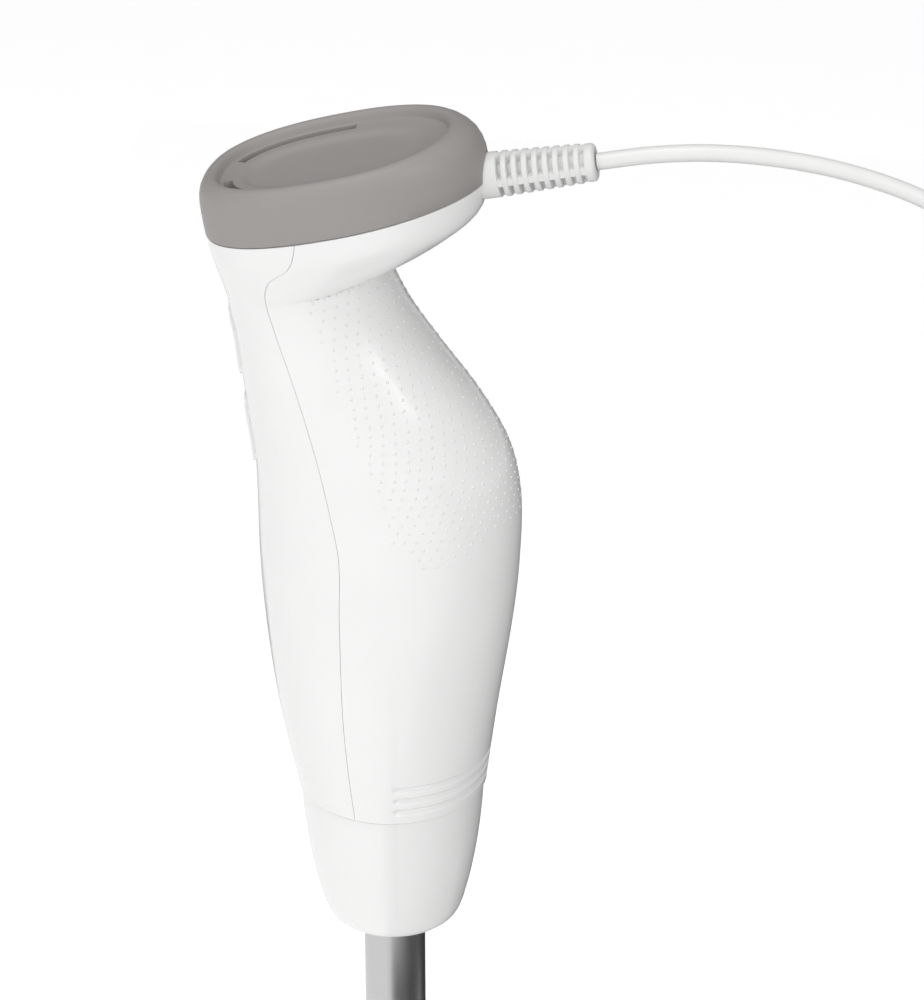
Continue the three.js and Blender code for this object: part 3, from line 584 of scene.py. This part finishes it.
deselect()
bpy.ops.mesh.primitive_uv_sphere_add(segments=8, ring_count=4, radius=1)
dome = bpy.context.object
dome_points = [Vector((v.co.x * dot_radius, v.co.y * dot_radius,
                       v.co.z * dot_height)) for v in dome.data.vertices]
dome_faces = [tuple(face.vertices) for face in dome.data.polygons]
discard(dome)
dot_points = []
dot_faces = []
row = 0
height = 262.0
while height < 372:
    t = level_at(height)
    shape = section(grip_lines, t)
    ring = [ring_point(shape, math.pi * i / 180 - math.pi) for i in range(361)]
    run = [0.0]
    for p, q in zip(ring, ring[1:]):
        run.append(run[-1] + (q - p).length)
    count = int(run[-1] / dot_pitch / 2)
    for k in range(-count, count + 1):
        want = run[180] + (k + 0.5 * (row % 2)) * dot_pitch
        i = min(range(361), key=lambda n: abs(run[n] - want))
        spot = ring[i]
        if not in_field(spot.x, spot.z) or abs(spot.y) < 0.1 and row % 2:
            continue
        rise = section(grip_lines, min(1, t + 0.01))
        upward = ring_point(rise, math.pi * i / 180 - math.pi) - spot
        sideways = ring[min(360, i + 1)] - ring[max(0, i - 1)]
        normal = sideways.cross(upward).normalized()
        turn = Vector((0, 0, 1)).rotation_difference(normal).to_matrix()
        start = len(dot_points)
        dot_points += [spot + turn @ p for p in dome_points]
        dot_faces += [tuple(start + n for n in face) for face in dome_faces]
    row += 1
    height += dot_pitch * 0.8
dot_mesh = bpy.data.meshes.new("grip_dots")
dot_mesh.from_pydata(dot_points, [], dot_faces)
dots = bpy.data.objects.new("grip_dots", dot_mesh)
bpy.context.collection.objects.link(dots)
smooth(dots, 80)
settle(dots, shell_white, "handle", "white_plastic")


# Head cap, warm grey soft-touch moulding. Its rounded rim runs round a dished top, with a slot
# down each side of the dish and a shallow oval pressed into its middle.
cap_up = Vector((-0.16, 0, 1)).normalized()
cap_grey = finish("cap_soft_touch", (0.315, 0.3, 0.292), 0.5, mottle=0.015, grain=2600, depth=0.12)
cap_profile = [
    (-6.5, 7.6, 0), (-4.6, 6.6, 0), (-4.6, 0.3, 0), (0, 0.3, 0), (0.25, 0.6, 0), (0.3, 4, 0),
    (0.3, 7.5, 0.15), (0.3, 10, 0.7), (0.2, 12.2, 1.6), (0.0, 13.8, 2.8), (-0.5, 15.0, 3.9),
    (-1.3, 15.8, 4.7), (-2.3, 16.2, 5.1), (-3.2, 16.2, 5.3), (-4.0, 15.7, 5.2), (-4.6, 14.8, 5.0),
    (-5.0, 13.7, 4.8), (-6.0, 13.4, 4.7), (-8.6, 13.2, 4.5), (-10.6, 13.05, 4.2),
    (-11.6, 12.85, 4.0), (-12.4, 12.35, 3.8), (-13.3, 11.95, 3.6), (-15, 11.75, 3.4), (-18, 11.65, 3.2),
    (-22, 11.6, 3.0), (-25, 11.6, 2.0),
]
slot_row = 17
cap_rings = []
for grow, up, end_in in cap_profile:
    ring = []
    for turn in turns:
        inset = end_in * (max(0, math.cos(turn)) ** 3 + 0.3 * max(0, -math.cos(turn)) ** 3)
        ring.append(ring_point(seam_shape, turn, grow - inset, cap_up * up))
    cap_rings.append(ring)
cap = loft("top_cap_skin", cap_rings, close=True)
pick(cap)
bpy.ops.object.mode_set(mode="EDIT")
bpy.ops.mesh.select_all(action="DESELECT")
bpy.ops.object.mode_set(mode="OBJECT")
slot_start = math.radians(88)
slot_ends = (math.radians(159), math.radians(168))
for i in range(around):
    near = turns[i] >= math.pi
    turn = 2 * math.pi - turns[i] - 2 * math.pi / around if near else turns[i]
    if slot_start < turn < slot_ends[near]:
        cap.data.polygons[slot_row * around + i].select = True
bpy.ops.object.mode_set(mode="EDIT")
bpy.ops.mesh.extrude_region_move(TRANSFORM_OT_translate={"value": -3.2 * cap_up})
bpy.ops.object.mode_set(mode="OBJECT")
cut(cap, boot_hole)
discard(boot_hole)
soften(cap, 0.35, 38, 3)
settle(cap, cap_grey, "handle", "soft_grey", "top_cap")


# Turned pieces start as a closed outline of radius and height, spun about the drive axis.
def turned(name, outline, steps=96):
    deselect()
    bpy.ops.mesh.primitive_circle_add(vertices=len(outline), radius=1)
    piece = bpy.context.object
    piece.name = name
    for vertex, (radius, height) in zip(piece.data.vertices, outline):
        vertex.co = (radius, 0, height)
    bpy.ops.object.mode_set(mode="EDIT")
    bpy.ops.mesh.select_all(action="SELECT")
    bpy.ops.mesh.spin(steps=steps, angle=2 * math.pi, center=(0, 0, 0), axis=(0, 0, 1))
    bpy.ops.mesh.select_all(action="SELECT")
    bpy.ops.mesh.remove_doubles(threshold=1e-4)
    bpy.ops.mesh.delete_loose(use_verts=True, use_edges=True, use_faces=False)
    bpy.ops.mesh.select_all(action="SELECT")
    bpy.ops.mesh.normals_make_consistent(inside=False)
    bpy.ops.object.mode_set(mode="OBJECT")
    return piece


# Strain relief, white PVC, moulded over the cord. Between a plain root collar and a plain end
# collar it has eight rings, tied to each other by four small bridges in every groove.
boot_root_radius = 6.4
boot_end_radius = 5.3
ring_count = 8
first_ring = 5.35
ring_pitch = 2.88
ring_thickness = 1.53
core_radius = 3.7


def boot_radius(distance):
    taper = boot_end_radius - boot_root_radius
    return boot_root_radius + taper * max(0, distance - 4) / (boot_length - 4)


outline = [(2.5, -8), (8, -8), (8, -6.6), (boot_root_radius, -6.6), (boot_root_radius, first_ring - 1.4)]
ridge = first_ring - 1.4
outline.append((core_radius, ridge))
for i in range(ring_count):
    low = first_ring + i * ring_pitch - 0.1
    radius = boot_radius(low)
    outline += [(core_radius, low), (radius, low), (radius, low + ring_thickness),
                (core_radius, low + ring_thickness)]
end_low = first_ring + ring_count * ring_pitch - 0.1
outline += [(core_radius, end_low), (boot_end_radius, end_low), (boot_end_radius, boot_length - 0.7),
            (boot_end_radius - 0.7, boot_length), (2.5, boot_length)]
boot = turned("strain_relief_boot", outline, 72)
soften(boot, 0.28, 40, 2)
bridges = []
bridge_turns = [math.radians(5 + 90 * i) for i in range(4)]
for i in range(ring_count + 1):
    low = first_ring - 1.6 if i == 0 else first_ring + (i - 1) * ring_pitch + ring_thickness - 0.4
    high = first_ring + i * ring_pitch + 0.2
    reach = boot_radius(low) - 0.25
    for turn in bridge_turns:
        deselect()
        bpy.ops.mesh.primitive_cube_add(size=1)
        bridge = bpy.context.object
        spot = Matrix.Translation((reach / 2 + 1.5, 0, (low + high) / 2))
        shape = Matrix.Diagonal((reach - 3, 2.0, high - low, 1))
        bridge.data.transform(Matrix.Rotation(turn, 4, "Z") @ spot @ shape)
        bridges.append(bridge)
pick(boot)
for bridge in bridges:
    bridge.select_set(True)
bpy.ops.object.join()
boot.data.transform(Matrix.Translation(boot_root) @ boot_turn)
boot_white = finish("boot_white_pvc", (0.75, 0.75, 0.745), 0.45, mottle=0.015, grain=800, depth=0.05)
settle(boot, boot_white, "handle", "white_cord", "strain_relief")


# Foot collar, gloss white. It pushes up over the handle's spigot and closes the seam with a fine
# shadow line, and it carries the soft upright edge of the grip on down.
foot_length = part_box("foot_collar")[0][2] / MM
collar_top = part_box("foot_collar")[1][2] / MM
collar_radius = 28.1
spigot_radius = 21.2
socket_floor = collar_top - 15.5
tube_radius = (tube_high[0] - tube_low[0]) / 2 / MM
tube_top = tube_high[2] / MM
lower = smooth_line([(tube_radius + 3.5, 0, foot_length), (16.5, 0, foot_length + 0.1),
                     (20.2, 0, foot_length + 1.6),
                     (22.2, 0, foot_length + 6)], 10)
side = smooth_line([(22.2, 0, foot_length + 6), (24.3, 0, foot_length + 15), (26.4, 0, foot_length + 28),
                    (27.6, 0, foot_length + 40), (collar_radius, 0, collar_top - 0.3)], 26)
outline = [(tube_radius + 0.15, foot_length + 0.6), (tube_radius + 0.6, foot_length)]
outline += [(p.x, p.z) for p in lower] + [(p.x, p.z) for p in side[1:]]
outline += [(collar_radius - 0.3, collar_top), (spigot_radius + 0.8, collar_top),
            (spigot_radius + 0.3, collar_top - 0.5),
            (spigot_radius + 0.3, socket_floor), (12, socket_floor), (12, tube_top + 0.3),
            (tube_radius + 0.15, tube_top + 0.3)]
collar = turned("foot_collar_skin", outline, 192)
for vertex in collar.data.vertices:
    radius = math.hypot(vertex.co.x, vertex.co.y)
    outside = radius > 0.9 * spigot_radius and vertex.co.z < collar_top - 1
    if outside or radius > 27:
        behind = ease(vertex.co.x, edge_x - 0.8, edge_x + 0.5)
        down = 0.22 * behind * ease(vertex.co.z, foot_length, foot_length + 9)
        vertex.co.x *= 1 - down / radius
        vertex.co.y *= 1 - down / radius
smooth(collar, 40)
settle(collar, shell_white, "foot", "white_plastic", "foot_collar")


# Foot tube, brushed stainless steel, 19 mm. It is pressed into the collar above and into the bell
# below.
steel = finish("brushed_stainless", (0.53, 0.53, 0.53), 0.34, metallic=1.0, mottle=0.02, grain=260,
               depth=0.05,
               stretch=(1, 1, 14), spread=0.06)
bell_height = tube_low[2] / MM - 0.3
tube = turned("shaft_tube_skin", [(tube_radius - 1.2, tube_low[2] / MM), (tube_radius, tube_low[2] / MM),
                                  (tube_radius, tube_top), (tube_radius - 1.2, tube_top)], 128)
soften(tube, 0.25)
settle(tube, steel, "foot", "steel", "shaft_tube")


# Bell guard, brushed stainless. A rolled neck holds the tube, the dome shields the blade, and four
# arches in the rim let the food flow through.
bell_radius = 31
bell_wall = 2.4
neck = tube_radius + 2.3
arch_radius = 8
outer = smooth_line([(bell_radius, 0, 0.6), (bell_radius - 0.4, 0, 12), (bell_radius - 5, 0, 25),
                     (neck + 4, 0, bell_height - 2), (neck, 0, bell_height + 6)], 36)
inner = smooth_line([(neck + 2, 0, bell_height - 4), (bell_radius - 8, 0, 24),
                     (bell_radius - bell_wall - 0.4, 0, 12),
                     (bell_radius - bell_wall, 0, 0.5)], 28)
outline = [(bell_radius - 0.6, 0)] + [(p.x, p.z) for p in outer]
outline += [(neck, bell_height + 12.6), (neck - 0.8, bell_height + 14),
            (tube_radius + 0.3, bell_height + 14),
            (tube_radius + 0.3, bell_height), (5, bell_height), (5, bell_height - 4)]
outline += [(p.x, p.z) for p in inner] + [(bell_radius - bell_wall + 0.5, 0)]
bell = turned("bell_guard_skin", outline, 144)
for turn in (0, math.pi / 2):
    deselect()
    bpy.ops.mesh.primitive_cylinder_add(vertices=64, radius=arch_radius, depth=2 * bell_radius + 10)
    arch_tool = bpy.context.object
    across = Matrix.Rotation(turn, 4, "Z") @ Matrix.Rotation(math.pi / 2, 4, "Y")
    arch_tool.data.transform(Matrix.Translation((0, 0, 1)) @ across)
    cut(bell, arch_tool)
    discard(arch_tool)
soften(bell, 0.45, 50, 3)
settle(bell, steel, "foot", "steel", "bell_guard")


# Blade, ground stainless steel: a round hub with two pitched wings, each ground sharp along its
# leading edge. A nut under the hub holds it on the drive rod.
blade_height = 14
blade_radius = 22
shaft_hole = 3.3
hub = turned("blade_face", [(shaft_hole, blade_height - 2.5), (5, blade_height - 2.5),
                            (5, blade_height + 5),
                            (shaft_hole, blade_height + 5)], 64)
for side in (-1, 1):
    wing_plan = [(3.6, -5.3), (blade_radius - 3, -3.4), (blade_radius - 0.4, -1.4), (blade_radius, 0.6),
                 (blade_radius - 1.6, 2.4), (blade_radius - 4.4, 3.4), (3.6, 4.4)]
    wing = prism("wing", [Vector((x, y, -0.6)) for x, y in wing_plan], 1.2, (0, 0, 1))
    for vertex in wing.data.vertices:
        if vertex.co.y < -1 and vertex.co.z > 0:
            vertex.co.y += 1.3
    apply(wing, "BEVEL", width=0.15, segments=2, limit_method="ANGLE", angle_limit=math.radians(50))
    half_turn = Matrix.Rotation(0 if side > 0 else math.pi, 4, "Z")
    droop = Matrix.Rotation(math.radians(side * 9), 4, "Y")
    pitch = Matrix.Rotation(math.radians(16), 4, "X")
    wing.data.transform(Matrix.Translation((0, 0, blade_height)) @ half_turn @ droop @ pitch)
    cut(hub, wing, "UNION")
    discard(wing)
smooth(hub, 30)
ground_steel = finish("ground_steel", (0.6, 0.6, 0.61), 0.22, metallic=1.0, mottle=0.03, grain=500,
                      depth=0.08,
                      stretch=(1, 9, 1))
settle(hub, ground_steel, "blade_drive", "steel", "blade")


# Spigot plate under the handle, gloss white: three screws hold it in the grip, its round spigot
# takes the foot, and the motor's coupler stands in its middle.
plate_corner, plate_far_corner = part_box("motor_base")
spigot_low = plate_corner[2] / MM
plate_radius = (plate_far_corner[1] - plate_corner[1]) / 2 / MM
plate_low = base + 1.8
plate_high = base + 5.8
chamber = 9.5
spigot = turned("spigot_plate", [
    (chamber, spigot_low), (spigot_radius - 1, spigot_low), (spigot_radius, spigot_low + 1),
    (spigot_radius, spigot_low + 4), (spigot_radius - 0.7, spigot_low + 4.5),
    (spigot_radius - 0.7, spigot_low + 6.5), (spigot_radius, spigot_low + 7), (spigot_radius, plate_low),
    (plate_radius, plate_low), (plate_radius, plate_high),
    (5.15, plate_high), (5.15, plate_high - 2), (chamber, plate_high - 2)], 128)
for i in range(3):
    screw_low, screw_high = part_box(f"base_screw_{i + 1}")
    x = (screw_low[0] + screw_high[0]) / 2 / MM - drive_x
    y = (screw_low[1] + screw_high[1]) / 2 / MM
    deselect()
    bpy.ops.mesh.primitive_cylinder_add(vertices=32, radius=1.5, depth=12, location=(x, y, plate_low + 2))
    hole = bpy.context.object
    cut(spigot, hole)
    discard(hole)
soften(spigot, 0.3, 45)
settle(spigot, shell_white, "handle", "white_plastic", "motor_base")

# Base screws, plated steel, with pan heads and a cross recess. The three of them hold the spigot
# plate up in the grip.
screw_steel = finish("screw_steel", (0.62, 0.61, 0.58), 0.3, metallic=1.0, grain=700, depth=0.05)
for i in range(3):
    name = f"base_screw_{i + 1}"
    screw_low, screw_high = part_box(name)
    x = (screw_low[0] + screw_high[0]) / 2 / MM - drive_x
    y = (screw_low[1] + screw_high[1]) / 2 / MM
    low, high = screw_low[2] / MM, screw_high[2] / MM
    thread = []
    for k in range(14):
        level = low + 2.2 + k * (high - low - 3) / 14
        thread += [(1.2, level), (0.95, level + 0.4)]
    screw = turned(name + "_head", [(0, low), (1.4, low), (2, low + 0.5), (2, low + 1.3),
                                    (1.2, low + 1.4)] + thread
                   + [(0.4, high), (0, high)], 32)
    for turn in (0, math.pi / 2):
        deselect()
        bpy.ops.mesh.primitive_cube_add(size=1)
        recess = bpy.context.object
        recess.data.transform(Matrix.Rotation(turn, 4, "Z") @ Matrix.Diagonal((2.4, 0.5, 1.6, 1)))
        recess.data.transform(Matrix.Translation((0, 0, low)))
        cut(screw, recess)
        discard(recess)
    screw.data.transform(Matrix.Translation((x, y, 0)))
    smooth(screw, 40)
    settle(screw, screw_steel, "handle", "steel", name)


# Mains plug, white PVC over a moulded frame, on the floor beside the coil: a flat body that widens
# to its face, with grip ribs on both flats, a ribbed relief on the cord and two nickel pins.
plug_from, plug_to = plug_low[0] / MM - drive_x, plug_high[0] / MM - drive_x
plug_half = (plug_high[1] - plug_low[1]) / 2 / MM
plug_thick = (plug_high[2] - plug_low[2]) / MM
body_line = smooth_line([(plug_from, plug_half * 0.45, 0), (plug_from + 6, plug_half * 0.62, 0),
                         (plug_to - 16, plug_half - 1.2, 0),
                         (plug_to, plug_half, 0)], 12)
outline = [Vector((p.x, plug_y - p.y, plug_low[2] / MM)) for p in body_line]
outline += [Vector((p.x, plug_y + p.y, plug_low[2] / MM)) for p in reversed(body_line)]
plug = prism("plug_shell", outline, plug_thick, (0, 0, 1))
soften(plug, 2.6, 50, 5)
for side in (-1, 1):
    for k in range(5):
        deselect()
        bpy.ops.mesh.primitive_cylinder_add(vertices=24, radius=0.55, depth=2 * plug_half - 14)
        rib = bpy.context.object
        rib_level = plug_axis + side * (plug_thick / 2 + 0.1)
        rib_place = Matrix.Translation((plug_from + 12 + 3 * k, plug_y, rib_level))
        rib.data.transform(rib_place @ Matrix.Rotation(math.pi / 2, 4, "X"))
        cut(plug, rib)
        discard(rib)
smooth(plug, 35)
settle(plug, boot_white, "handle", "white_cord", "plug_body")

relief_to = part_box("plug_relief")[1][0] / MM - drive_x
outline = [(2.5, 0), (3.1, 0)]
relief_rings = 4
for k in range(relief_rings):
    low = 1.2 + k * (relief_to - relief_from - 1.6) / relief_rings
    radius = 3.1 + 1.4 * (k + 0.5) / relief_rings
    outline += [(2.7, low), (2.7, low + 0.9), (radius, low + 0.9), (radius, low + 2.2)]
outline += [(4.5, relief_to - relief_from), (2.5, relief_to - relief_from)]
relief = turned("plug_relief_sleeve", outline, 48)
soften(relief, 0.2, 45)
relief.data.transform(Matrix.Translation((relief_from, plug_y,
                                          plug_axis)) @ Matrix.Rotation(math.pi / 2, 4, "Y"))
settle(relief, boot_white, "handle", "white_cord", "plug_relief")

pin_nickel = finish("pin_nickel", (0.7, 0.68, 0.62), 0.18, metallic=1.0, grain=600, depth=0.03)
for name in ("plug_pin_1", "plug_pin_2"):
    pin_low, pin_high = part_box(name)
    length = (pin_high[0] - pin_low[0]) / MM
    pin = turned(name + "_face", [(0, 0), (2, 0), (2, length - 1.8), (1.8, length - 0.9),
                                  (1.2, length - 0.25), (0, length)], 40)
    smooth(pin, 50)
    pin.data.transform(Matrix.Translation((pin_low[0] / MM - drive_x,
                                           (pin_low[1] + pin_high[1]) / 2 / MM, plug_axis))
                       @ Matrix.Rotation(math.pi / 2, 4, "Y"))
    settle(pin, pin_nickel, "handle", "pin_nickel", name)

# Cord tie, a soft black plastic strap. It goes round all the turns of the coil and is closed on
# itself, so it holds them together.
tie_low, tie_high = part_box("cord_tie")
x1, x2 = tie_low[0] / MM - drive_x, tie_high[0] / MM - drive_x
y1, y2 = tie_low[1] / MM, tie_high[1] / MM
z1, z2 = tie_low[2] / MM, tie_high[2] / MM
tie = prism("cord_tie_strap", [Vector((x1, y1, z1)), Vector((x2, y1, z1)), Vector((x2, y1, z2)),
                               Vector((x1, y1, z2))], y2 - y1, (0, 1, 0))
hollow = prism("hollow", [Vector((x1 + 1, y1 - 1, z1 + 1)), Vector((x2 - 1, y1 - 1, z1 + 1)),
                          Vector((x2 - 1, y1 - 1, z2 - 1)),
                          Vector((x1 + 1, y1 - 1, z2 - 1))], y2 - y1 + 2, (0, 1, 0))
cut(tie, hollow)
discard(hollow)
soften(tie, 0.42, 50, 3)
tie_black = finish("tie_black", (0.03, 0.03, 0.032), 0.7, mottle=0.2, grain=1800, depth=0.5)
settle(tie, tie_black, "handle", "black_plastic", "cord_tie")


# Inner pieces keep their solids and get their own finishes: motor steel, ferrite magnets, copper
# windings, sintered bearings, black mouldings, rubber mounts and seals, and the green board.
motor_steel = finish("motor_steel", (0.32, 0.33, 0.34), 0.4, metallic=1.0, mottle=0.06, grain=300,
                     depth=0.08, stretch=(1, 1, 8))
core_steel = finish("laminated_core", (0.25, 0.25, 0.26), 0.45, metallic=1.0, mottle=0.05, grain=200,
                    depth=0.4, stretch=(0.2, 0.2, 12))
black_moulding = finish("black_moulding", (0.03, 0.03, 0.033), 0.5, mottle=0.1, grain=1400, depth=0.15)
rubber_black = finish("rubber_black", (0.028, 0.028, 0.028), 0.8, mottle=0.15, grain=1100, depth=0.3)
ferrite = finish("ferrite", (0.055, 0.053, 0.055), 0.75, mottle=0.2, grain=900, depth=0.4)
carbon = finish("brush_carbon", (0.035, 0.035, 0.037), 0.6, mottle=0.2, grain=1300, depth=0.3)
copper = finish("enamelled_copper", (0.5, 0.2, 0.09), 0.35, metallic=0.9, mottle=0.15, grain=160,
                depth=0.7, stretch=(1, 1, 9))
bronze = finish("sintered_bronze", (0.42, 0.29, 0.13), 0.5, metallic=1.0, mottle=0.12, grain=1700,
                depth=0.4)
board_green = finish("board_green", (0.02, 0.12, 0.05), 0.35, mottle=0.25, grain=300, depth=0.2)
inner_finishes = {
    motor_steel: ["motor_can"],
    core_steel: ["armature_core"],
    black_moulding: ["speed_switch", "turbo_switch", "speed_switch_plunger", "turbo_switch_plunger",
                     "bridge_rectifier",
                     "filter_capacitor", "motor_end_cap", "cord_clamp", "cooling_fan", "foot_coupler",
                     "middle_guide"],
    rubber_black: ["lower_motor_mount", "upper_motor_mount", "output_seal", "blade_seal"],
    ferrite: ["front_magnet", "rear_magnet"],
    carbon: ["front_brush", "rear_brush"],
    copper: ["upper_winding", "lower_winding", "commutator", "line_choke"],
    bronze: ["upper_bearing", "lower_bearing", "lower_bush", "upper_bush"],
    board_green: ["circuit_board"],
    ground_steel: ["drive_rod", "motor_shaft", "drive_coupler", "blade_nut"],
    screw_steel: ["clamp_screw_1", "clamp_screw_2"],
    cord_white: ["cord_inner_end"],
}
for material, names in inner_finishes.items():
    for name in names:
        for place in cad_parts[name].material_slots:
            place.material = material
